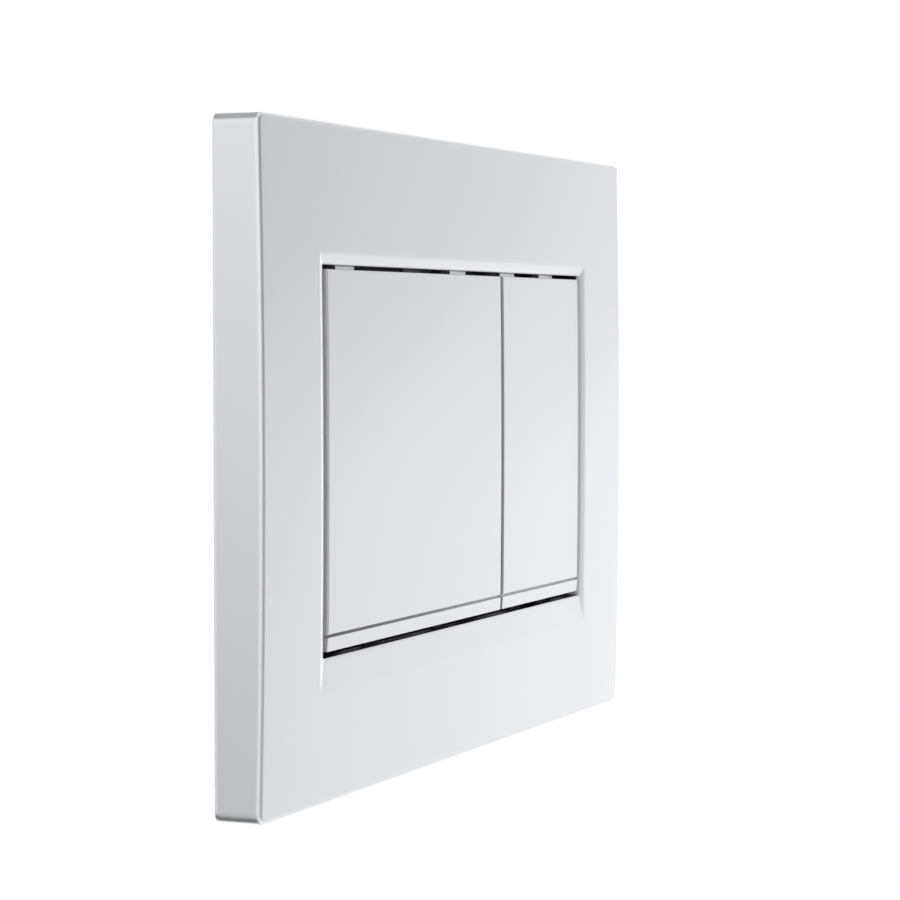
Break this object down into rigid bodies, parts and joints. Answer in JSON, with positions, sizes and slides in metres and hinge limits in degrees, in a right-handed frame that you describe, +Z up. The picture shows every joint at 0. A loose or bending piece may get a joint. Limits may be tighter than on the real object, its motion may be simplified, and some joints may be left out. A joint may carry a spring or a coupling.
{
  "type": "flush button plate",
  "caption": "Low oblong flush plate with a slightly bowed satin front, a shallow dish and a wide and a narrow tilting button that push rods towards a concealed cistern.",
  "frame": {"origin": "middle of the plate on the wall plane, which is the back face of the mounting frame", "axes": "+X to the right seen from the front, +Y into the wall, +Z up"},
  "size_m": [0.246, 0.0447, 0.164],
  "materials": {
    "cover_plating": "satin chrome plating on moulded plastic",
    "button_plating": "satin chrome plating on moulded plastic",
    "carrier_plastic": "black moulded plastic",
    "pin_steel": "drawn steel wire",
    "spring_steel": "dull spring steel strip",
    "rivet_steel": "plain steel",
    "rod_plastic": "off-white moulded plastic",
    "pad_plastic": "dark grey moulded plastic",
    "nut_brass": "turned brass",
    "bolt_steel": "zinc-plated steel",
    "washer_steel": "zinc-plated steel",
    "buffer_rubber": "soft black rubber"
  },
  "bodies": {
    "plate": {"cover_frame": "cover_plating", "full_hinge_pin": "pin_steel", "half_hinge_pin": "pin_steel", "mounting_frame": "carrier_plastic", "full_spring": "spring_steel", "half_spring": "spring_steel", "spring_rivets": "rivet_steel", "left_fixing_bolt": "bolt_steel", "right_fixing_bolt": "bolt_steel", "left_bolt_washer": "washer_steel", "right_bolt_washer": "washer_steel", "full_left_buffer": "buffer_rubber", "full_right_buffer": "buffer_rubber", "half_left_buffer": "buffer_rubber", "half_right_buffer": "buffer_rubber"},
    "full_button": {"full_button": "button_plating"},
    "half_button": {"half_button": "button_plating"},
    "full_rod": {"full_push_rod": "rod_plastic", "full_rod_pad": "pad_plastic", "full_rod_nut": "nut_brass"},
    "half_rod": {"half_push_rod": "rod_plastic", "half_rod_pad": "pad_plastic", "half_rod_nut": "nut_brass"}
  },
  "joints": [
    {"name": "full_button_tilt", "type": "hinge", "parent": "plate", "child": "full_button", "pos_m": [0, -0.00615, 0.0522], "axis": [1, 0, 0], "range_deg": [0, 3.3], "stiffness_Nm_per_rad": 4, "springref_deg": -2.86, "deforming": ["full_spring"]},
    {"name": "half_button_tilt", "type": "hinge", "parent": "plate", "child": "half_button", "pos_m": [0, -0.00615, 0.0522], "axis": [1, 0, 0], "range_deg": [0, 3.3], "stiffness_Nm_per_rad": 4, "springref_deg": -2.86, "deforming": ["half_spring"]},
    {"name": "full_rod_slide", "type": "slide", "parent": "plate", "child": "full_rod", "axis": [0, 1, 0], "range_m": [0, 0.0042]},
    {"name": "half_rod_slide", "type": "slide", "parent": "plate", "child": "half_rod", "axis": [0, 1, 0], "range_m": [0, 0.0042]}
  ],
  "couplings": [
    {"joint": "full_rod_slide", "follows": "full_button_tilt", "m_per_rad": 0.0722},
    {"joint": "half_rod_slide", "follows": "half_button_tilt", "m_per_rad": 0.0722}
  ]
}
